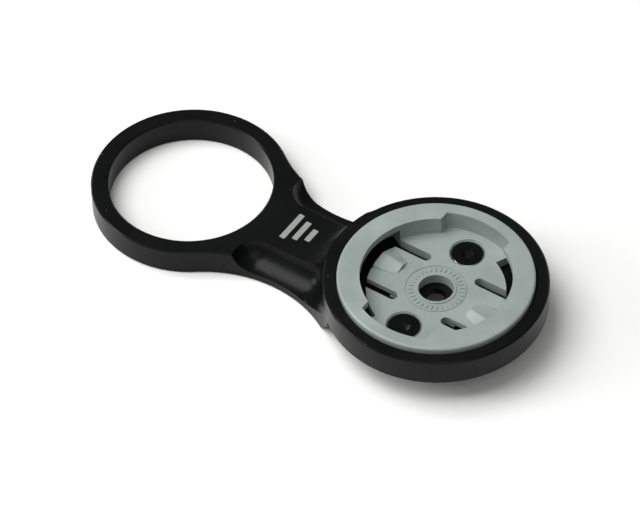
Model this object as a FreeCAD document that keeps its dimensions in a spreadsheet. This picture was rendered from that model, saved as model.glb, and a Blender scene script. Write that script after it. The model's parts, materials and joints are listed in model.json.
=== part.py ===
"""Steerer-tube mount for a cycling computer: one-piece arm, quarter-turn insert and its screws.

The frame is in millimetres. The origin is on the steerer-tube axis at mid-height of the clamp
ring, +X runs along the arm to the computer socket and +Z points up, out of the socket.
"""
import FreeCAD, Part
import math
import os
import re

import Sketcher

DIMENSIONS = [
    # arm: heights are measured from the ring's middle plane
    ("ring_bore_radius", 14.35, "bore for a 28.6 mm steerer tube"),
    ("ring_radius", 17.35, "outside of the clamp ring"),
    ("ring_half_height", 2.5, "half of the 5 mm spacer height"),
    ("ring_chamfer", 0.25, "edge break round the ring and the neck"),
    ("neck_radius", 22.5, "plan radius of both flanks of the neck"),
    ("cup_distance", 50.45, "from the steerer axis to the socket axis"),
    ("cup_radius", 19.05, "outside of the cup"),
    ("cup_bottom", 1.8, "underside of the cup"),
    ("cup_chamfer", 0.8, "chamfer under the cup"),
    ("rim_top", 7.4, "top of the cup's rim"),
    ("rim_chamfer", 0.28, "edge break on the rim"),
    ("cove_radius", 5.5, "hollow fillet from the neck up to the rim"),
    ("ramp_start", 35.4, "where the underside starts to climb to the cup"),
    ("ramp_end", 38.5, "where the underside reaches the cup"),
    ("pocket_radius", 16.75, "bore of the cup"),
    ("pocket_floor", 3.05, "floor of the cup"),
    ("lock_hole_radius", 1.65, "clearance for a locking screw from below"),
    ("tapped_hole_radius", 1.53, "holes for the insert's screws"),
    ("scoop_radius", 4.2, "ball end mill that hollows the neck"),
    ("scoop_offset", 9.3, "scoop axis beside the centre line"),
    ("scoop_height", 3.26, "scoop axis above the middle plane"),
    ("scoop_start", 19.9, "scoop centre at the ring end"),
    # insert
    ("insert_radius", 16.7, "outside of the insert"),
    ("insert_top", 8.25, "top of the lip"),
    ("insert_edge", 0.4, "rounded outer edge of the lip"),
    ("recess_floor", 4.75, "floor that the computer sits on"),
    ("lip_radius", 12.85, "opening between the lips"),
    ("lip_underside", 6.95, "underside of the lips"),
    ("lug_radius", 14.45, "room for the computer's lugs"),
    ("room_radius", 15.6, "outside of the rooms under the lips"),
    ("lug_half_width", 6.25, "half width of the lugs' way in"),
    ("floor_radius", 11.8, "edge of the floor under the lips"),
    ("slot_offset", 5.25, "slots beside the tongues"),
    ("slot_width", 1.7, "width of those slots"),
    ("slot_start", 5.3, "centre of a slot's round end"),
    ("hub_radius", 3.0, "hole in the middle of the insert"),
    ("hub_rim", 3.45, "outside of the raised rim round that hole"),
    ("hub_rim_height", 0.15, "height of the raised rim"),
    ("hub_groove", 5.2, "fine groove round the middle"),
    ("hub_groove_width", 0.14, "width of the groove"),
    ("hub_groove_depth", 0.12, "depth of the groove"),
    ("screw_circle", 9.83, "screws from the socket axis"),
    # detent tongues
    ("tongue_half_width", 4.37, "half width of a tongue"),
    ("tongue_bay", 4.4, "half width of the gap that holds it"),
    ("tongue_underside", 3.75, "underside of a tongue"),
    ("tongue_tip", 11.85, "tip of a tongue from the socket axis"),
    ("hinge_offset", 6.4, "bending line from the socket axis"),
    ("root_radius", 1.0, "rounded root about the bending line"),
    ("root_clearance", 0.03, "gap round the root"),
    ("detent_height", 0.6, "height of the detent wedge"),
    ("detent_start", 7.3, "inner end of the wedge"),
    ("detent_foot", 6.0, "angle of the gentle side's foot"),
    ("detent_ridge", 8.5, "angle of the ridge"),
    ("detent_heel", 19.0, "angle of the steep side's foot"),
    ("notch_depth", 0.5, "depth of the notch beside the wedge at the tip"),
    ("notch_inner_depth", 0.02, "its depth at the inner end"),
    ("notch_gap", 0.35, "from the wedge's foot to the middle of the notch"),
    ("notch_overrun", 0.1, "how far the notch's cutter stands above the floor"),
    ("run_out", 1.0, "how far slots and tongues are drawn past the circle that trims them"),
    # screws
    ("screw_top", 4.55, "top of a screw's head"),
    ("screw_head_radius", 2.95, "M3 countersunk head"),
    ("screw_edge", 0.22, "bevel round the top of the head"),
    ("screw_band", 0.3, "height of the head's rim, bevel included"),
    ("screw_neck", 3.12, "where the head's cone meets the shank"),
    ("screw_shank_radius", 1.5, "M3 shank"),
    ("screw_tip", 1.95, "end of a screw"),
    ("screw_socket", 2.0, "across the flats of the hexagon socket"),
    ("screw_socket_depth", 1.2, "depth of the socket"),
    ("counterbore_radius", 3.12, "shallow step round a screw head"),
    ("head_clearance", 0.05, "gap beside a screw head"),
]

MARGIN = 5.0    # how far a cut runs past the surface it leaves through
ALL_ROUND = "360 deg"

document = FreeCAD.newDocument("computer_mount")
sheet = document.addObject("Spreadsheet::Sheet", "Dimensions")


def fill_sheet():
    for row, (alias, size, meaning) in enumerate(DIMENSIONS, start=1):
        sheet.set("A%d" % row, alias)
        sheet.set("B%d" % row, str(size))
        sheet.set("C%d" % row, meaning)
        sheet.setAlias("B%d" % row, alias)
    document.recompute()


def cells(text):
    """Spell out the sheet's name in front of every alias in an expression."""
    aliases = {alias for alias, size, meaning in DIMENSIONS}

    def spell(match):
        word = match.group()
        return "Dimensions." + word if word in aliases else word

    return re.sub("[a-z_]+", spell, text)


def measure(text):
    """Value of an expression on the sheet's cells."""
    result = sheet.evalExpression(cells(text))
    return float(getattr(result, "Value", result))


def new_body(label):
    body = document.addObject("PartDesign::Body", label)
    body.Label = label
    return body


def plane(body, role):
    return next(item for item in body.Origin.OriginFeatures if item.Role == role)


def new_sketch(body, name, role="XY_Plane", height="0"):
    """A sketch on one of the body's own planes, moved along that plane's normal."""
    drawing = body.newObject("Sketcher::SketchObject", name)
    drawing.AttachmentSupport = (plane(body, role), [""])
    drawing.MapMode = "FlatFace"
    if height != "0":
        drawing.setExpression("AttachmentOffset.Base.z", cells(height))
    return drawing


def drive(drawing, kind, geometry, point, text):
    """Hold a coordinate or a radius of a sketch element to an expression."""
    place = (geometry,) if kind == "Radius" else (geometry, point)
    index = drawing.addConstraint(Sketcher.Constraint(kind, *place, measure(text)))
    name = "size_%d" % index
    drawing.renameConstraint(index, name)
    drawing.setExpression("Constraints." + name, cells(text))


def draw_circle(drawing, x, y, radius):
    centre = FreeCAD.Vector(measure(x), measure(y), 0)
    circle = Part.Circle(centre, FreeCAD.Vector(0, 0, 1), measure(radius))
    index = drawing.addGeometry(circle)
    drive(drawing, "DistanceX", index, 3, x)
    drive(drawing, "DistanceY", index, 3, y)
    drive(drawing, "Radius", index, 0, radius)


def arc_between(start, end, radius):
    """Shorter arc from start to end: counter-clockwise for a positive radius."""
    chord = end - start
    rise = math.sqrt(radius ** 2 - (chord.Length / 2) ** 2)
    left = FreeCAD.Vector(-chord.y, chord.x, 0).normalize()
    centre = (start + end) * 0.5 + left * math.copysign(rise, radius)
    first, last = (start, end) if radius > 0 else (end, start)
    angles = [math.atan2(p.y - centre.y, p.x - centre.x) for p in (first, last)]
    circle = Part.Circle(centre, FreeCAD.Vector(0, 0, 1), abs(radius))
    return Part.ArcOfCircle(circle, *angles)


def draw_outline(drawing, corners):
    """Closed outline: each corner is (x, y) or (x, y, radius of the arc that leaves it)."""
    points = [FreeCAD.Vector(measure(c[0]), measure(c[1]), 0) for c in corners]
    ends = []
    for index, corner in enumerate(corners):
        start = points[index]
        end = points[(index + 1) % len(points)]
        radius = measure(corner[2]) if len(corner) > 2 else 0.0
        if radius:
            element = drawing.addGeometry(arc_between(start, end, radius))
            ends.append((element, 1, 2) if radius > 0 else (element, 2, 1))
        else:
            element = drawing.addGeometry(Part.LineSegment(start, end))
            ends.append((element, 1, 2))
    for index, corner in enumerate(corners):
        element, begin, finish = ends[index]
        following = ends[(index + 1) % len(ends)]
        joint = Sketcher.Constraint("Coincident", element, finish, following[0], following[1])
        drawing.addConstraint(joint)
        drive(drawing, "DistanceX", element, begin, corner[0])
        drive(drawing, "DistanceY", element, begin, corner[1])
        if len(corner) > 2:
            length = corner[2][2:] if corner[2].startswith("- ") else corner[2]
            drive(drawing, "Radius", element, 0, length)


def volume(body):
    document.recompute()
    return body.Shape.Volume


def pad(body, drawing, length):
    feature = body.newObject("PartDesign::Pad", drawing.Name + "_pad")
    feature.Profile = drawing
    feature.setExpression("Length", cells(length))
    document.recompute()
    return feature


def pocket(body, drawing, length, upward=False, both_ways=False):
    """Cut away from the sketch: downward unless upward is set."""
    before = volume(body)
    feature = body.newObject("PartDesign::Pocket", drawing.Name + "_pocket")
    feature.Profile = drawing
    feature.setExpression("Length", cells(length))
    feature.Reversed = upward
    feature.Midplane = both_ways
    if volume(body) >= before:
        raise RuntimeError(feature.Name + " removes nothing")
    return feature


def revolve(body, drawing, kind, angle=ALL_ROUND, backwards=False):
    """Turn a sketch about its own construction line."""
    before = volume(body) if kind == "Groove" else 0.0
    feature = body.newObject("PartDesign::" + kind, drawing.Name + "_turned")
    feature.Profile = drawing
    feature.ReferenceAxis = (drawing, ["Axis0"])
    feature.setExpression("Angle", cells(angle))
    feature.Reversed = backwards
    after = volume(body)
    if kind == "Groove" and after >= before:
        raise RuntimeError(feature.Name + " removes nothing")
    return feature


def add_axis(drawing, x):
    """Upright construction line that a revolved profile turns about."""
    base = FreeCAD.Vector(measure(x), -MARGIN, 0)
    tip = FreeCAD.Vector(measure(x), MARGIN, 0)
    index = drawing.addGeometry(Part.LineSegment(base, tip), True)
    drive(drawing, "DistanceX", index, 1, x)
    drive(drawing, "DistanceY", index, 1, str(-MARGIN))
    drive(drawing, "DistanceX", index, 2, x)
    drive(drawing, "DistanceY", index, 2, str(MARGIN))


def break_edges(body, kind, size, wanted):
    """Chamfer or fillet every edge of the body that the test accepts."""
    base = body.Tip
    names = ["Edge%d" % n for n, edge in enumerate(base.Shape.Edges, start=1) if wanted(edge)]
    if not names:
        raise RuntimeError("no edge to break on " + body.Label)
    feature = body.newObject("PartDesign::" + kind, "%s_%s" % (body.Label, kind.lower()))
    feature.Base = (base, names)
    feature.setExpression("Size" if kind == "Chamfer" else "Radius", cells(size))
    document.recompute()
    return feature


def level(edge, height):
    """True when an edge lies wholly at the height that an expression gives."""
    box = edge.BoundBox
    wanted = measure(height)
    return abs(box.ZMin - wanted) < 1e-4 and abs(box.ZMax - wanted) < 1e-4


def is_arc(edge, radius, x, y="0"):
    """True for an arc or circle of that radius about that upright axis."""
    try:
        curve = edge.Curve
    except TypeError:    # a seam with no curve of its own
        return False
    if not isinstance(curve, Part.Circle):
        return False
    centre = FreeCAD.Vector(measure(x), measure(y), curve.Center.z)
    return abs(curve.Radius - measure(radius)) < 1e-3 and (curve.Center - centre).Length < 1e-3


# Neck flanks: an arc of neck_radius touches both the ring and the cup on each side.
FLANK_X = ("((ring_radius + neck_radius) ^ 2 - (cup_radius + neck_radius) ^ 2"
           " + cup_distance ^ 2) / (2 * cup_distance)")
FLANK_Y = "sqrt((ring_radius + neck_radius) ^ 2 - (%s) ^ 2)" % FLANK_X
RING_SHARE = "ring_radius / (ring_radius + neck_radius)"
CUP_SHARE = "cup_radius / (cup_radius + neck_radius)"
RING_TOUCH = ("(%s) * (%s)" % (FLANK_X, RING_SHARE), "(%s) * (%s)" % (FLANK_Y, RING_SHARE))
CUP_TOUCH = ("cup_distance + ((%s) - cup_distance) * (%s)" % (FLANK_X, CUP_SHARE),
             "(%s) * (%s)" % (FLANK_Y, CUP_SHARE))


def build_neck(body):
    """Waisted plate, as tall as the rim, then swept down by the hollow fillet round the cup."""
    plan = new_sketch(body, "neck_plan", height="- ring_half_height")
    draw_outline(plan, [
        (RING_TOUCH[0], "- (%s)" % RING_TOUCH[1], "- neck_radius"),
        (CUP_TOUCH[0], "- (%s)" % CUP_TOUCH[1]),
        (CUP_TOUCH[0], CUP_TOUCH[1], "- neck_radius"),
        (RING_TOUCH[0], RING_TOUCH[1]),
    ])
    pad(body, plan, "rim_top + ring_half_height")
    cove = new_sketch(body, "cove_profile", "XZ_Plane")
    wall = "cup_distance - cup_radius"
    toe = "cup_distance - cup_radius - cove_radius"
    centre = "ring_half_height + cove_radius"
    draw_outline(cove, [
        (toe, "ring_half_height", "cove_radius"),
        (wall, centre),
        (wall, centre + " + %s" % MARGIN),
        ("- ring_radius - %s" % MARGIN, centre + " + %s" % MARGIN),
        ("- ring_radius - %s" % MARGIN, "ring_half_height"),
    ])
    add_axis(cove, "cup_distance")
    revolve(body, cove, "Groove")


def build_ring_and_cup(body):
    ring = new_sketch(body, "ring_plan", height="- ring_half_height")
    draw_circle(ring, "0", "0", "ring_radius")
    pad(body, ring, "2 * ring_half_height")
    cup = new_sketch(body, "cup_profile", "XZ_Plane")
    draw_outline(cup, [
        ("cup_distance", "cup_bottom"),
        ("cup_distance + cup_radius - cup_chamfer", "cup_bottom"),
        ("cup_distance + cup_radius", "cup_bottom + cup_chamfer"),
        ("cup_distance + cup_radius", "rim_top"),
        ("cup_distance", "rim_top"),
    ])
    add_axis(cup, "cup_distance")
    revolve(body, cup, "Revolution")
    ramp = new_sketch(body, "ramp_profile", "XZ_Plane")
    beyond = "cup_distance + cup_radius + %s" % MARGIN
    below = "- ring_half_height - %s" % MARGIN
    draw_outline(ramp, [
        ("ramp_start", "- ring_half_height"),
        ("ramp_end", "cup_bottom"),
        (beyond, "cup_bottom"),
        (beyond, below),
        ("ramp_start", below),
    ])
    pocket(body, ramp, "4 * cup_radius", both_ways=True)


def build_holes(body):
    bore = new_sketch(body, "steerer_bore", height="ring_half_height")
    draw_circle(bore, "0", "0", "ring_bore_radius")
    pocket(body, bore, "2 * ring_half_height + %s" % MARGIN)
    seat = new_sketch(body, "insert_pocket", height="rim_top")
    draw_circle(seat, "cup_distance", "0", "pocket_radius")
    pocket(body, seat, "rim_top - pocket_floor")
    holes = new_sketch(body, "floor_holes", height="pocket_floor")
    draw_circle(holes, "cup_distance", "0", "lock_hole_radius")
    draw_circle(holes, "cup_distance", "screw_circle", "tapped_hole_radius")
    draw_circle(holes, "cup_distance", "- screw_circle", "tapped_hole_radius")
    pocket(body, holes, "pocket_floor - cup_bottom + %s" % MARGIN)


def place(feature, x, y, z, pitch=0.0):
    """Put a cutting tool at a point, its axis turned from +Z towards +X by pitch degrees."""
    turn = FreeCAD.Rotation(FreeCAD.Vector(0, 1, 0), pitch)
    feature.AttachmentOffset = FreeCAD.Placement(FreeCAD.Vector(0, 0, 0), turn)
    for axis, text in (("x", x), ("y", y), ("z", z)):
        feature.setExpression("AttachmentOffset.Base." + axis, cells(text))


def tool(body, shape, name):
    feature = body.newObject("PartDesign::Subtractive" + shape, name)
    feature.AttachmentSupport = (plane(body, "XY_Plane"), [""])
    feature.MapMode = "FlatFace"
    feature.setExpression("Radius", cells("scoop_radius"))
    return feature


TURN_RADIUS = "(cup_radius + scoop_radius)"
TURN_START = "(cup_distance - sqrt(%s ^ 2 - scoop_offset ^ 2))" % TURN_RADIUS


def scoop_profile(drawing, inner, middle, outer, arc="scoop_radius"):
    """Outline of the ball end mill from its tip up past the rim, or of half of it."""
    top = "rim_top + %s" % MARGIN
    corners = [(middle, "scoop_height - scoop_radius", arc), (outer, "scoop_height"),
               (outer, top), (inner, top)]
    if inner != middle:
        corners.append((inner, "scoop_height", arc))
    draw_outline(drawing, corners)


def build_scoop(body, side, sign):
    """Hollow left by a ball end mill: along the neck, then outward round the wall of the cup."""
    offset = sign + " scoop_offset"
    before = volume(body)
    run = tool(body, "Cylinder", "scoop_run_" + side)
    run.setExpression("Height", cells("%s - scoop_start" % TURN_START))
    place(run, "scoop_start", offset, "scoop_height", pitch=90.0)
    ball = tool(body, "Sphere", "scoop_start_" + side)
    place(ball, "scoop_start", offset, "scoop_height")
    corner = new_sketch(body, "scoop_corner_" + side, "XZ_Plane", "- (%s)" % offset)
    scoop_profile(corner, TURN_START, TURN_START, TURN_START + " + scoop_radius")
    add_axis(corner, TURN_START)
    revolve(body, corner, "Groove")
    turn = new_sketch(body, "scoop_turn_" + side, "YZ_Plane", "cup_distance")
    scoop_profile(turn, sign + " cup_radius", sign + " " + TURN_RADIUS,
                  sign + " (%s + scoop_radius)" % TURN_RADIUS, sign + " scoop_radius")
    add_axis(turn, "0")
    revolve(body, turn, "Groove", "acos(scoop_offset / %s)" % TURN_RADIUS, backwards=sign == "-")
    if volume(body) >= before:
        raise RuntimeError("the scoop removes nothing")


def build_arm():
    body = new_body("mount_body")
    build_neck(body)
    build_ring_and_cup(body)
    build_holes(body)
    build_scoop(body, "left", "")
    build_scoop(body, "right", "-")
    break_edges(body, "Chamfer", "ring_chamfer", is_ring_edge)
    break_edges(body, "Chamfer", "rim_chamfer", is_rim_edge)
    return body


def is_ring_edge(edge):
    """Ring and neck edges on the two flat faces, with both ends of the bore."""
    if not (level(edge, "ring_half_height") or level(edge, "- ring_half_height")):
        return False
    flank = is_arc(edge, "neck_radius", FLANK_X, FLANK_Y)
    flank = flank or is_arc(edge, "neck_radius", FLANK_X, "- (%s)" % FLANK_Y)
    return flank or is_arc(edge, "ring_radius", "0") or is_arc(edge, "ring_bore_radius", "0")


def is_rim_edge(edge):
    outside = is_arc(edge, "cup_radius", "cup_distance")
    return level(edge, "rim_top") and (outside or is_arc(edge, "pocket_radius", "cup_distance"))


def build_insert_shell(body):
    """Disc with a recess, two ways in for the lugs and the room under the lips."""
    disc = new_sketch(body, "insert_disc", height="pocket_floor")
    draw_circle(disc, "0", "0", "insert_radius")
    pad(body, disc, "insert_top - pocket_floor")
    break_edges(body, "Fillet", "insert_edge", is_insert_edge)
    recess = new_sketch(body, "recess", height="insert_top")
    draw_circle(recess, "0", "0", "lip_radius")
    pocket(body, recess, "insert_top - recess_floor")
    for side, sign in (("far", ""), ("near", "-")):
        way_in = new_sketch(body, "lug_way_in_" + side, height="insert_top")
        edge = "sqrt(lug_radius ^ 2 - lug_half_width ^ 2)"
        arc = ("- " if sign else "") + "lug_radius"
        draw_outline(way_in, [
            ("lug_half_width", "0"),
            ("lug_half_width", "%s %s" % (sign, edge), arc),
            ("- lug_half_width", "%s %s" % (sign, edge)),
            ("- lug_half_width", "0"),
        ])
        pocket(body, way_in, "insert_top - recess_floor")


def is_insert_edge(edge):
    return level(edge, "insert_top") and is_arc(edge, "insert_radius", "0")


LUG_SWEEP = (151.0, 244.0)    # the room that a lug turns through on the -X side, in degrees


def polar(radius, degrees):
    return ("%s * cos(%s deg)" % (radius, degrees), "%s * sin(%s deg)" % (radius, degrees))


def build_lug_rooms(body):
    """Room under each lip, open through the floor, from the tongue round to the way in."""
    for side, turn in (("minus_x", 0.0), ("plus_x", 180.0)):
        first, last = LUG_SWEEP[0] + turn, LUG_SWEEP[1] + turn
        room = new_sketch(body, "lug_room_" + side, height="pocket_floor")
        draw_outline(room, [
            polar("floor_radius", first),
            polar("room_radius", first) + ("room_radius",),
            polar("room_radius", last),
            polar("floor_radius", last) + ("- floor_radius",),
        ])
        pocket(body, room, "lip_underside - pocket_floor", upward=True)


def build_slots(body):
    """Two slots beside each tongue, round at the inner end."""
    for side, along in (("plus_x", ""), ("minus_x", "-")):
        for edge, across in (("far", ""), ("near", "-")):
            slot = new_sketch(body, "slot_%s_%s" % (side, edge), height="recess_floor")
            inner = "%s (slot_offset - slot_width / 2)" % across
            outer = "%s (slot_offset + slot_width / 2)" % across
            start = "%s slot_start" % along
            end = "%s (floor_radius + run_out)" % along
            draw_outline(slot, [(end, inner), (start, inner), (start, outer), (end, outer)])
            pocket(body, slot, "recess_floor - pocket_floor + %s" % MARGIN)
            tip = new_sketch(body, "slot_end_%s_%s" % (side, edge), height="recess_floor")
            draw_circle(tip, start, "%s slot_offset" % across, "slot_width / 2")
            pocket(body, tip, "recess_floor - pocket_floor + %s" % MARGIN)


HALF_THICKNESS = "(recess_floor - tongue_underside) / 2"
HINGE_HEIGHT = "(recess_floor + tongue_underside) / 2"


def build_tongue_bays(body):
    """Gap for each tongue, hollowed round the tongue's bending line."""
    for side, along in (("plus_x", ""), ("minus_x", "-")):
        hinge = "%s hinge_offset" % along
        end = "%s (floor_radius + run_out)" % along
        bay = new_sketch(body, "tongue_bay_" + side, height="recess_floor")
        draw_outline(bay, [
            (hinge, "- tongue_bay"),
            (end, "- tongue_bay"),
            (end, "tongue_bay"),
            (hinge, "tongue_bay"),
        ])
        pocket(body, bay, "recess_floor - pocket_floor + %s" % MARGIN)
        root = new_sketch(body, "tongue_root_" + side, "XZ_Plane")
        draw_circle(root, hinge, HINGE_HEIGHT, "root_radius + root_clearance")
        pocket(body, root, "2 * tongue_bay", both_ways=True)


def build_hub(body):
    """Raised rim and fine groove round the hole in the middle."""
    rim = new_sketch(body, "hub_rim_plan", height="recess_floor")
    draw_circle(rim, "0", "0", "hub_rim")
    pad(body, rim, "hub_rim_height")
    hole = new_sketch(body, "hub_hole", height="recess_floor + hub_rim_height")
    draw_circle(hole, "0", "0", "hub_radius")
    pocket(body, hole, "recess_floor - pocket_floor + %s" % MARGIN)
    groove = new_sketch(body, "hub_groove_plan", height="recess_floor")
    draw_circle(groove, "0", "0", "hub_groove - hub_groove_width / 2")
    draw_circle(groove, "0", "0", "hub_groove + hub_groove_width / 2")
    pocket(body, groove, "hub_groove_depth")


def build_screw_seats(body):
    """Stepped and countersunk hole for each screw."""
    head = "screw_head_radius + head_clearance"
    shank = "screw_shank_radius + head_clearance"
    for side, sign in (("far", "-"), ("near", "")):
        seat = new_sketch(body, "screw_seat_" + side, "XZ_Plane", "%s screw_circle" % sign)
        draw_outline(seat, [
            ("0", "recess_floor"),
            ("counterbore_radius", "recess_floor"),
            ("counterbore_radius", "screw_top"),
            (head, "screw_top"),
            (head, "screw_top - screw_band"),
            (shank, "screw_neck"),
            (shank, "pocket_floor"),
            ("0", "pocket_floor"),
        ])
        add_axis(seat, "0")
        revolve(body, seat, "Groove")


def put(body, x, y="0", degrees=0.0):
    """Place a finished body, turned about its own upright axis."""
    turn = FreeCAD.Rotation(FreeCAD.Vector(0, 0, 1), degrees)
    body.Placement = FreeCAD.Placement(FreeCAD.Vector(0, 0, 0), turn)
    body.setExpression("Placement.Base.x", cells(x))
    body.setExpression("Placement.Base.y", cells(y))


def build_insert():
    body = new_body("insert")
    build_insert_shell(body)
    build_lug_rooms(body)
    build_slots(body)
    build_tongue_bays(body)
    build_hub(body)
    build_screw_seats(body)
    put(body, "cup_distance")
    return body


def triangle(body, name, distance, corners):
    """Three-cornered section on a plane square to X; corners are (y, z) expressions."""
    section = new_sketch(body, name, "YZ_Plane", distance)
    draw_outline(section, corners)
    return section


def loft(body, kind, first, last):
    feature = body.newObject("PartDesign::%sLoft" % kind, first.Name + "_loft")
    feature.Profile = first
    feature.Sections = [last]
    feature.Ruled = True
    document.recompute()
    return feature


def build_detent(body):
    """Wedge that the computer's lug climbs, and the small notch at the wedge's foot."""
    wedge = []
    notch = []
    for name, distance, depth in (("inner", "detent_start", "notch_inner_depth"),
                                  ("outer", "(tongue_tip + run_out)", "notch_depth")):
        wedge.append(triangle(body, "wedge_" + name, distance, [
            ("%s * tan(detent_foot * 1 deg)" % distance, "recess_floor"),
            ("- %s * tan(detent_ridge * 1 deg)" % distance, "recess_floor + detent_height"),
            ("- %s * tan(detent_heel * 1 deg)" % distance, "recess_floor"),
        ]))
        foot = "%s * tan(detent_foot * 1 deg) + notch_gap" % distance
        top = "recess_floor + notch_overrun"
        notch.append(triangle(body, "notch_" + name, distance, [
            (foot + " + %s" % depth, top),
            (foot, "recess_floor - %s" % depth),
            (foot + " - %s" % depth, top),
        ]))
    loft(body, "Additive", *wedge)
    before = volume(body)
    loft(body, "Subtractive", *notch)
    if volume(body) >= before:
        raise RuntimeError("the notch removes nothing")


def build_tongue(label, degrees):
    """Springy tongue of the insert, round at the root so that it can turn there."""
    body = new_body(label)
    side = new_sketch(body, "side_" + label, "XZ_Plane")
    root = "hinge_offset - sqrt(root_radius ^ 2 - (%s) ^ 2)" % HALF_THICKNESS
    draw_outline(side, [
        (root, "recess_floor", "root_radius"),
        (root, "tongue_underside"),
        ("tongue_tip + run_out", "tongue_underside"),
        ("tongue_tip + run_out", "recess_floor"),
    ])
    plate = pad(body, side, "2 * tongue_half_width")
    plate.Midplane = True
    document.recompute()
    build_detent(body)
    tip = new_sketch(body, "tip_" + label, height="recess_floor + detent_height")
    draw_circle(tip, "0", "0", "tongue_tip")
    draw_circle(tip, "0", "0", "2 * tongue_tip")
    pocket(body, tip, "recess_floor - tongue_underside + %s" % MARGIN)
    put(body, "cup_distance", degrees=degrees)
    return body


def build_screw(label, sign, degrees):
    """M3 countersunk screw with a hexagon socket; the thread is a plain shank."""
    body = new_body(label)
    profile = new_sketch(body, "profile_" + label, "XZ_Plane")
    draw_outline(profile, [
        ("0", "screw_tip"),
        ("screw_shank_radius", "screw_tip"),
        ("screw_shank_radius", "screw_neck"),
        ("screw_head_radius", "screw_top - screw_band"),
        ("screw_head_radius", "screw_top - screw_edge"),
        ("screw_head_radius - screw_edge", "screw_top"),
        ("0", "screw_top"),
    ])
    add_axis(profile, "0")
    revolve(body, profile, "Revolution")
    socket = new_sketch(body, "socket_" + label, height="screw_top")
    corner = "screw_socket / 2 / cos(30 deg)"
    hexagon = [("%s * cos(%d deg)" % (corner, turn), "%s * sin(%d deg)" % (corner, turn))
               for turn in range(0, 360, 60)]
    draw_outline(socket, hexagon)
    pocket(body, socket, "screw_socket_depth")
    put(body, "cup_distance", sign + " screw_circle", degrees)
    return body


def check_document():
    document.recompute()
    for item in document.Objects:
        if "Invalid" in item.State or "Error" in item.State:
            raise RuntimeError("%s: %s" % (item.Name, item.State))


def write_parts(bodies):
    os.makedirs("parts", exist_ok=True)
    for body in bodies:
        shape = body.Shape
        if shape.isNull() or not shape.isValid() or len(shape.Solids) != 1:
            raise RuntimeError("%s is not one valid solid" % body.Label)
        shape.exportStep("parts/%s.step" % body.Label)
        box = shape.BoundBox
        print("%-22s %9.2f mm3  x %.2f to %.2f, y %.2f to %.2f, z %.2f to %.2f" % (
            body.Label, shape.Volume, box.XMin, box.XMax, box.YMin, box.YMax, box.ZMin, box.ZMax))


fill_sheet()
parts = [
    build_arm(),
    build_insert(),
    build_tongue("detent_tongue_rear", 180.0),
    build_tongue("detent_tongue_front", 0.0),
    build_screw("insert_screw_left", "", 20.0),
    build_screw("insert_screw_right", "-", 50.0),
]
check_document()
write_parts(parts)
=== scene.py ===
# %% [markdown]
# # A steerer-tube mount for a cycling computer
#
# The real object is small: a flat aluminium ring that sits among the headset spacers, a waisted neck,
# and a round cup with a grey plastic socket for the computer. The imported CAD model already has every
# exact shape, so this lesson loads it as a fixed frame and spends its time on surfaces, small moulded
# detail and light.

# %% Load the frame
import json
import math

import bpy
from mathutils import Matrix, Vector


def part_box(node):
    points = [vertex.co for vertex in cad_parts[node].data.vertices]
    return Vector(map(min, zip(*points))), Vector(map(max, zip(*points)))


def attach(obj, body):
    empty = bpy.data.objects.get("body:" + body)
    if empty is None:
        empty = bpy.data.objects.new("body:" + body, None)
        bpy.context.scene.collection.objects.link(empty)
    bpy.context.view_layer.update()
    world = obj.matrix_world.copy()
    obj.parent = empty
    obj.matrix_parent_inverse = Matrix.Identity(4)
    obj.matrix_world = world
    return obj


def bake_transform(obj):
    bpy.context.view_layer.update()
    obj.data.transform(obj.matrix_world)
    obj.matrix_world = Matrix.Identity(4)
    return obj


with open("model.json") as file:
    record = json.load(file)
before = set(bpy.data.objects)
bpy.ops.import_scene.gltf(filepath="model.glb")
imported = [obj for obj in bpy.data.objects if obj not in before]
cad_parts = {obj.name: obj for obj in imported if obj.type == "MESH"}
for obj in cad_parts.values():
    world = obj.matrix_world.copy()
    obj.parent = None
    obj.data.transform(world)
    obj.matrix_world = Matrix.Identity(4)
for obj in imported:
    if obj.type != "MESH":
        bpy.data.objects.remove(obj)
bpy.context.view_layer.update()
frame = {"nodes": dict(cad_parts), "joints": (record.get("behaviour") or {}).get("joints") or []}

MM = 0.001
print("nodes", sorted(frame["nodes"]))

# %% [markdown]
# ## Reference sizes
#
# Everything is placed from the frame, never by eye. The ring, the socket's axis and the socket's floor
# are read from the boxes of the CAD nodes, so the pieces below follow if the part is packed again.

# %% Reference sizes
RECESS_DEPTH = 3.5 * MM

arm_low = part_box("mount_body")[0]
insert_low, insert_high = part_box("insert")
tongue_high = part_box("detent_tongue_front")[1]

socket_axis = Vector(((insert_low.x + insert_high.x) / 2, 0.0, 0.0))
ring_top = -arm_low.z    # the ring's middle plane is at height zero
insert_floor = insert_high.z - RECESS_DEPTH
hinges = {joint["child"]: Vector(joint["pos_m"]) for joint in frame["joints"]}
print("socket axis", tuple(round(v / MM, 2) for v in socket_axis), "floor", round(insert_floor / MM, 2))

# %% [markdown]
# ## Working helpers
#
# Blender's operators act on whatever is selected. The first helper clears the selection and makes one
# object active, which is what a click in the viewport does. The second gives colours: artists pick
# them as sRGB hex values, while the shader wants linear light.

# %% Selection and colour
def activate(piece):
    bpy.ops.object.select_all(action="DESELECT")
    piece.select_set(True)
    bpy.context.view_layer.objects.active = piece


def linear(hex_colour):
    channels = [int(hex_colour[i:i + 2], 16) / 255 for i in (1, 3, 5)]
    spread = [c / 12.92 if c <= 0.04045 else ((c + 0.055) / 1.055) ** 2.4 for c in channels]
    return (*spread, 1.0)


print("mid grey is", [round(c, 3) for c in linear("#808080")])

# %% [markdown]
# ## Smooth shading for machined faces
#
# CAD hands over loose triangles, and a turned surface made of them shows its facets in a reflection.
# Three live modifiers cure this without touching the mesh: Weld joins the triangles for shading, Edge
# Split keeps every edge over 30 degrees crisp, and Weighted Normal lets the big flat faces stay flat
# where a fillet runs into them. A Bevel modifier could round the edges too, but these edges already
# have their chamfers in the CAD.

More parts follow.
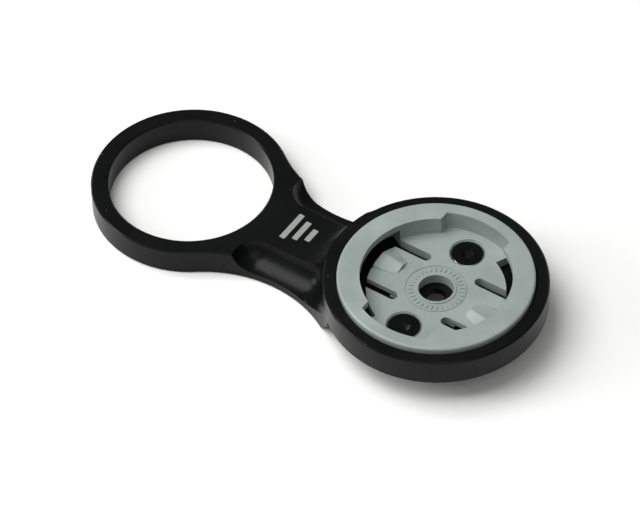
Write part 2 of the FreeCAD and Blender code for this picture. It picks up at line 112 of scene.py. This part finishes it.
# %% Smooth the CAD nodes
WELD_DISTANCE = 0.0005 * MM
CRISP_ANGLE = math.radians(30)


def smooth_node(node):
    node.data.shade_smooth()
    weld = node.modifiers.new("join_triangles", "WELD")
    weld.merge_threshold = WELD_DISTANCE
    split = node.modifiers.new("crisp_edges", "EDGE_SPLIT")
    split.split_angle = CRISP_ANGLE
    flat = node.modifiers.new("flat_faces", "WEIGHTED_NORMAL")
    flat.mode = "FACE_AREA_WITH_ANGLE"
    flat.keep_sharp = True


for node in frame["nodes"].values():
    smooth_node(node)
print("smoothed", len(frame["nodes"]), "nodes")

# %% [markdown]
# ## One way to add shader nodes
#
# A material is a small graph. This helper adds one node, sets its properties and its sockets, and links
# whatever is given as another node's output. Everything below uses it, so each material reads as a list.

# %% Shader node helper
def add(material, kind, settings=None, **sockets):
    node = material.node_tree.nodes.new(kind)
    for name, value in (settings or {}).items():
        setattr(node, name, value)
    for name, value in sockets.items():
        socket = node.inputs[int(name[1:])] if name[0] == "_" else node.inputs[name.replace("_", " ")]
        if isinstance(value, bpy.types.NodeSocket):
            material.node_tree.links.new(value, socket)
        else:
            socket.default_value = value
    return node


def new_material(name):
    material = bpy.data.materials.new(name)
    material.use_nodes = True
    material.node_tree.nodes.clear()
    return material


def per_metre(millimetres):
    """Texture scale that repeats about once per given length."""
    return 1.0 / (millimetres * MM)


def finish_material(material, shader):
    add(material, "ShaderNodeOutputMaterial", Surface=shader.outputs["BSDF"])
    print("material", material.name, "has", len(material.node_tree.nodes), "nodes")
    return material


def ramp(material, factor, low, high, dark, light):
    """Turn a grey pattern into two colours between two levels."""
    node = add(material, "ShaderNodeValToRGB", Fac=factor)
    first, last = node.color_ramp.elements
    first.position, last.position = low, high
    first.color, last.color = dark, light
    return node.outputs["Color"]


# %% [markdown]
# ## Black anodised aluminium
#
# The arm is milled from one block, tumbled and anodised. The oxide is dyed glass on metal, so it shines
# like a clear dark stone and not like bare metal: a nearly black base with a dielectric reflection. The
# sealed oxide is porous and reflects weakly, hence the low specular level. Tumbling leaves a fine grain,
# drawn at 0.3 mm, a little coarser than real, so that it shows. Handling leaves slightly uneven polish
# over about 9 mm, and pale dust specks of about 0.2 mm, one every 2.6 mm or so.

# %% Black anodised aluminium
def black_anodised_aluminium():
    material = new_material("black_anodised_aluminium")
    place = add(material, "ShaderNodeTexCoord").outputs["Object"]
    grain = add(material, "ShaderNodeTexNoise", Vector=place, Scale=per_metre(0.3), Detail=3.0)
    polish = add(material, "ShaderNodeTexNoise", Vector=place, Scale=per_metre(9.0), Detail=2.0)
    specks = add(material, "ShaderNodeTexVoronoi", Vector=place, Scale=per_metre(2.6))
    dust = add(material, "ShaderNodeMath", {"operation": "LESS_THAN"},
               _0=specks.outputs["Distance"], _1=0.04)
    tone = ramp(material, polish.outputs["Fac"], 0.3, 0.7, linear("#090A0A"), linear("#0D0E0E"))
    dusty = add(material, "ShaderNodeMix", {"data_type": "RGBA"},
                _0=dust.outputs["Value"], _6=tone, _7=linear("#5C5B52"))
    rough = add(material, "ShaderNodeMapRange", Value=polish.outputs["Fac"],
                From_Min=0.3, From_Max=0.7, To_Min=0.27, To_Max=0.33)
    relief = add(material, "ShaderNodeBump", Height=grain.outputs["Fac"],
                 Strength=0.35, Distance=0.006 * MM)
    shader = add(material, "ShaderNodeBsdfPrincipled", Base_Color=dusty.outputs["Result"],
                 Roughness=rough.outputs["Result"], Normal=relief.outputs["Normal"],
                 IOR=1.5, Specular_IOR_Level=0.14)
    return finish_material(material, shader)


anodised = black_anodised_aluminium()

# %% [markdown]
# ## Grey moulded acetal
#
# The insert is injection moulded. Acetal is slightly waxy: a cool mid grey with faint cloudy flow, a
# soft broad highlight and the fine spark texture of the mould, here about 0.35 mm. The flow shows as
# patches of about 7 mm that differ by a few percent.

# %% Grey moulded acetal
def grey_acetal():
    material = new_material("grey_moulded_acetal")
    place = add(material, "ShaderNodeTexCoord").outputs["Object"]
    cloud = add(material, "ShaderNodeTexNoise", Vector=place, Scale=per_metre(7.0), Detail=4.0)
    spark = add(material, "ShaderNodeTexNoise", Vector=place, Scale=per_metre(0.35), Detail=2.0)
    tone = ramp(material, cloud.outputs["Fac"], 0.35, 0.68, linear("#8A9592"), linear("#98A29F"))
    rough = add(material, "ShaderNodeMapRange", Value=spark.outputs["Fac"],
                From_Min=0.3, From_Max=0.7, To_Min=0.42, To_Max=0.52)
    relief = add(material, "ShaderNodeBump", Height=spark.outputs["Fac"],
                 Strength=0.3, Distance=0.01 * MM)
    shader = add(material, "ShaderNodeBsdfPrincipled", Base_Color=tone,
                 Roughness=rough.outputs["Result"], Normal=relief.outputs["Normal"], IOR=1.48)
    return finish_material(material, shader)


acetal = grey_acetal()

# %% [markdown]
# ## Black-oxide steel
#
# The screws are turned alloy steel with a black oxide skin. It is thin, so the metal still reflects:
# a dark metallic base, rather smooth, with a fine grain of about 0.15 mm. The faces that don't look
# straight up, the bevel and the hexagon socket, turn pale steel. That is partly real wear, where a key
# and a box of other screws scrape the skin away, and partly a painted highlight for the bright ring
# that the bevel catches. The upright part of the normal picks those faces out.

# %% Black-oxide steel
def black_oxide_steel():
    material = new_material("black_oxide_steel")
    place = add(material, "ShaderNodeTexCoord").outputs["Object"]
    grain = add(material, "ShaderNodeTexNoise", Vector=place, Scale=per_metre(0.15), Detail=2.0)
    tone = ramp(material, grain.outputs["Fac"], 0.35, 0.65, linear("#222423"), linear("#303231"))
    # Painted highlight mixed with real wear: faces tilted away from straight up get a pale steel colour.
    facing = add(material, "ShaderNodeSeparateXYZ",
                 Vector=add(material, "ShaderNodeNewGeometry").outputs["Normal"])
    bare_edge_and_highlight = add(material, "ShaderNodeMapRange", Value=facing.outputs["Z"],
                 From_Min=0.75, From_Max=0.9, To_Min=1.0, To_Max=0.0)
    worn_and_highlight_colour = add(material, "ShaderNodeMix", {"data_type": "RGBA"},
               _0=bare_edge_and_highlight.outputs["Result"], _6=tone, _7=linear("#BDBDB9"))
    relief = add(material, "ShaderNodeBump", Height=grain.outputs["Fac"],
                 Strength=0.3, Distance=0.005 * MM)
    shader = add(material, "ShaderNodeBsdfPrincipled", Base_Color=worn_and_highlight_colour.outputs["Result"], Metallic=1.0,
                 Roughness=0.24, Normal=relief.outputs["Normal"])
    return finish_material(material, shader)


oxide = black_oxide_steel()

# %% [markdown]
# ## Laser-bleached mark
#
# A laser burns the dye out of the oxide and leaves a dry mid grey. It has no thickness to speak of, no
# shine, and a fine speckle where single pulses overlap. The pulses are about 0.12 mm apart and are drawn
# at 0.25 mm so that they show.

# %% Laser-bleached oxide
def laser_bleached_oxide():
    material = new_material("laser_bleached_oxide")
    place = add(material, "ShaderNodeTexCoord").outputs["Object"]
    pulses = add(material, "ShaderNodeTexNoise", Vector=place, Scale=per_metre(0.25), Detail=2.0)
    tone = ramp(material, pulses.outputs["Fac"], 0.3, 0.7, linear("#868783"), linear("#9C9D98"))
    shader = add(material, "ShaderNodeBsdfPrincipled", Base_Color=tone, Roughness=0.75, IOR=1.5)
    return finish_material(material, shader)


bleached = laser_bleached_oxide()

# %% [markdown]
# ## Dress the CAD nodes
#
# Each node keeps its shape and takes one finish. Assigning to the mesh's material list replaces the
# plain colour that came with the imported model. The two tongues are moulded in one with the insert, so
# they share its material, and patterns on Object coordinates run on across the seam.

# %% Assign materials
def dress(piece, material):
    piece.data.materials.clear()
    piece.data.materials.append(material)


finishes = {"mount_body": anodised, "insert": acetal,
            "detent_tongue_rear": acetal, "detent_tongue_front": acetal,
            "insert_screw_left": oxide, "insert_screw_right": oxide}
for name, material in finishes.items():
    dress(frame["nodes"][name], material)
print("dressed", sorted(finishes))

# %% [markdown]
# ## Finishing a modelled piece
#
# Every new piece starts as a primitive at its own size and place. Its scale and place are then applied
# to the mesh, so the object sits at the origin like the CAD nodes. At the end all faces are turned
# outward and the piece gets its finish.

# %% Start and finish a piece
def start_plate(name, centre, length, width):
    bpy.ops.object.select_all(action="DESELECT")
    bpy.ops.mesh.primitive_plane_add(size=1.0, location=centre)
    plate = bpy.context.object
    plate.scale = (length, width, 1)
    plate.name = name
    plate.data.name = name
    bpy.ops.object.transform_apply(location=True, rotation=True, scale=True)
    bpy.ops.object.mode_set(mode="EDIT")
    bpy.ops.mesh.select_all(action="SELECT")
    return plate


def end_piece(piece, material):
    bpy.ops.mesh.select_all(action="SELECT")
    bpy.ops.mesh.normals_make_consistent(inside=False)
    bpy.ops.object.mode_set(mode="OBJECT")
    dress(piece, material)
    print(piece.name, len(piece.data.polygons), "faces")


# %% [markdown]
# ## Laser mark on the neck
#
# Makers burn a small mark into the anodising on top of the neck. Here it is a generic one: three bars
# of falling length. Each bar is a plane whose corners are rounded by a vertex bevel, then extruded into
# a plate. The real mark has no height; this one stands a hundredth of a millimetre above the face, just
# enough to win over it, and its underside is buried.

# %% Laser mark
MARK_CENTRE = Vector((22.9, 0.4, 0)) * MM
BAR_PITCH = 2.0 * MM
BAR_WIDTH = 1.05 * MM
BAR_LENGTHS = [6.4 * MM, 4.7 * MM, 3.0 * MM]
BAR_CORNER = 0.2 * MM
MARK_BURIED = 0.02 * MM
MARK_PROUD = 0.01 * MM


def laser_bar(number, length):
    centre = MARK_CENTRE + Vector(((number - 1) * BAR_PITCH, 0, ring_top - MARK_BURIED))
    bar = start_plate("laser_bar_%d" % (number + 1), centre, BAR_WIDTH, length)
    bpy.ops.mesh.bevel(offset=BAR_CORNER, segments=4, affect="VERTICES")
    bpy.ops.mesh.extrude_region_move(
        TRANSFORM_OT_translate={"value": (0, 0, MARK_BURIED + MARK_PROUD)})
    end_piece(bar, bleached)
    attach(bar, "mount")


for number, length in enumerate(BAR_LENGTHS):
    laser_bar(number, length)

# %% [markdown]
# ## Index ring in the socket
#
# Round the hole in the middle of the insert the mould leaves a ring of raised figures. A plain ring of
# index ticks stands for them. One tick is modelled: a plane with rounded corners, extruded, with its top
# drawn in a little as a mould's draft does. Spin then repeats it round the socket's axis.

# %% Index ring
TICKS = 32
TICK_RADIUS = 4.35 * MM
TICK_LENGTH = 0.95 * MM
TICK_WIDTH = 0.34 * MM
TICK_HEIGHT = 0.16 * MM
TICK_CORNER = 0.1 * MM
TICK_BURIED = 0.02 * MM
TICK_DRAFT = (0.88, 0.65, 1)


def index_ring():
    centre = socket_axis + Vector((TICK_RADIUS, 0, insert_floor - TICK_BURIED))
    ring = start_plate("index_ring", centre, TICK_LENGTH, TICK_WIDTH)
    bpy.ops.mesh.bevel(offset=TICK_CORNER, segments=2, affect="VERTICES")
    bpy.ops.mesh.extrude_region_move(
        TRANSFORM_OT_translate={"value": (0, 0, TICK_BURIED + TICK_HEIGHT)})
    bpy.ops.transform.resize(value=TICK_DRAFT, center_override=centre)
    bpy.ops.mesh.select_all(action="SELECT")
    turn = 2 * math.pi / TICKS
    bpy.ops.mesh.spin(steps=TICKS - 1, dupli=True, angle=turn * (TICKS - 1),
                      center=socket_axis, axis=(0, 0, 1))
    end_piece(ring, acetal)
    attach(ring, "mount")


index_ring()

# %% [markdown]
# ## Living hinges of the detent tongues
#
# Each springy tongue is moulded in one with the insert and bends at its root. The simulator needs it as
# a separate solid on a hinge, with a hair-thin gap round the root. A thin skin closes that gap: a plane
# cut into narrow strips across the bend, extruded into a plate, with its place applied to the mesh.

# %% Living hinges
HINGE_OVERLAP = 1.05 * MM
HINGE_CUTS = 7
SKIN_BURIED = 0.05 * MM
SKIN_PROUD = 0.008 * MM
SKIN_MARGIN = 0.1 * MM
hinge_width = 2 * tongue_high.y - SKIN_MARGIN


def living_hinge(name, body, outward):
    hinge = hinges[body]
    middle = Vector((hinge.x - outward * HINGE_OVERLAP / 2, 0, insert_floor - SKIN_BURIED))
    skin = start_plate(name, middle, HINGE_OVERLAP, hinge_width)
    bpy.ops.mesh.subdivide(number_cuts=HINGE_CUTS)
    bpy.ops.mesh.extrude_region_move(
        TRANSFORM_OT_translate={"value": (0, 0, SKIN_BURIED + SKIN_PROUD)})
    end_piece(skin, acetal)
    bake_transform(skin)


living_hinge("living_hinge_front", "front_tongue", 1)
living_hinge("living_hinge_rear", "rear_tongue", -1)

# %% [markdown]
# ## Camera
#
# A long lens from above the near side, a little under 0.7 m away. The axes of the camera are built from
# its azimuth, elevation and a slight roll, then laid into a matrix as columns.

# %% Camera
CAMERA_AZIMUTH = math.radians(34.74)
CAMERA_ELEVATION = math.radians(47.23)
CAMERA_ROLL = math.radians(-1.11)
CAMERA_DISTANCE = 688.9 * MM
CAMERA_TARGET = Vector((26.8, 0.09, -2.235)) * MM
LENS_MM = 226
SENSOR_MM = 36
CLIP_START = 0.05


def camera_axes(azimuth, elevation, roll):
    back = Vector((math.sin(azimuth) * math.cos(elevation),
                   -math.cos(azimuth) * math.cos(elevation), math.sin(elevation)))
    right = Vector((math.cos(azimuth), math.sin(azimuth), 0))
    turn = Matrix.Rotation(roll, 3, back)
    return turn @ right, turn @ back.cross(right), back


def add_camera():
    bpy.ops.object.camera_add()
    camera = bpy.context.object
    camera.name = "camera"
    camera.data.lens = LENS_MM
    camera.data.sensor_width = SENSOR_MM
    axes = camera_axes(CAMERA_AZIMUTH, CAMERA_ELEVATION, CAMERA_ROLL)
    place = Matrix(axes).transposed().to_4x4()
    place.translation = CAMERA_TARGET + axes[2] * CAMERA_DISTANCE
    camera.matrix_world = place
    camera.data.clip_start = CLIP_START
    return camera


bpy.context.scene.camera = add_camera()
print("camera at", tuple(round(v, 3) for v in bpy.context.scene.camera.location))

# %% [markdown]
# ## Floor and light
#
# Product pictures of black parts are lit with big white surfaces: the black shows only what it
# reflects. The flat tops mirror a patch of the studio on the far side, 47 degrees up, so that patch
# stays dim and the tops stay black. A strong soft box hangs overhead and a little to the left, where
# the hollows of the neck mirror it. A narrow one low on the left draws the bright line on the bevels.
# A wide weak one beside the camera fills the shadow under the cup.

# %% Floor
FLOOR_SIZE = 6.0
FLOOR_GAP = 0.02 * MM


def add_floor():
    bpy.ops.mesh.primitive_plane_add(size=FLOOR_SIZE, location=(0, 0, arm_low.z - FLOOR_GAP))
    floor = bpy.context.object
    floor.name = "floor"
    material = new_material("white_paper")
    shader = add(material, "ShaderNodeBsdfPrincipled", Base_Color=linear("#F6F6F4"), Roughness=0.8)
    dress(floor, finish_material(material, shader))


add_floor()

# %% Light
SKY_STRENGTH = 0.2
LAMP_TARGET = Vector((0.03, 0, 0))
# direction from the part, distance and side in metres, brightness of the face
SOFT_BOXES = {
    "soft_box_overhead": ((-0.39, -0.22, 0.92), 1.0, 0.8, 5.2),
    "soft_box_left": ((-0.72, -0.55, 0.42), 1.0, 0.3, 9.0),
    "soft_box_camera": ((0.45, -0.65, 0.75), 1.2, 0.9, 0.9),
}


def add_soft_box(name, direction, distance, size, radiance):
    """Square lamp that looks at the part; its watts follow from how bright its face should be."""
    aim = Vector(direction).normalized()
    bpy.ops.object.light_add(type="AREA", location=LAMP_TARGET + aim * distance)
    lamp = bpy.context.object
    lamp.name = name
    lamp.data.size = size
    lamp.data.energy = radiance * math.pi * size ** 2
    lamp.rotation_euler = aim.to_track_quat("Z", "Y").to_euler()


def add_sky(strength):
    world = bpy.data.worlds.new("studio")
    world.use_nodes = True
    world.node_tree.nodes["Background"].inputs["Color"].default_value = linear("#FFFFFF")
    world.node_tree.nodes["Background"].inputs["Strength"].default_value = strength
    bpy.context.scene.world = world


for name, setting in SOFT_BOXES.items():
    add_soft_box(name, *setting)
add_sky(SKY_STRENGTH)
bpy.context.scene.view_settings.view_transform = "Standard"
print("lights", sorted(SOFT_BOXES))

# %% [markdown]
# ## Update the scene
#
# The last line brings the placement of every object up to date.

# %% Update the scene
bpy.context.view_layer.update()
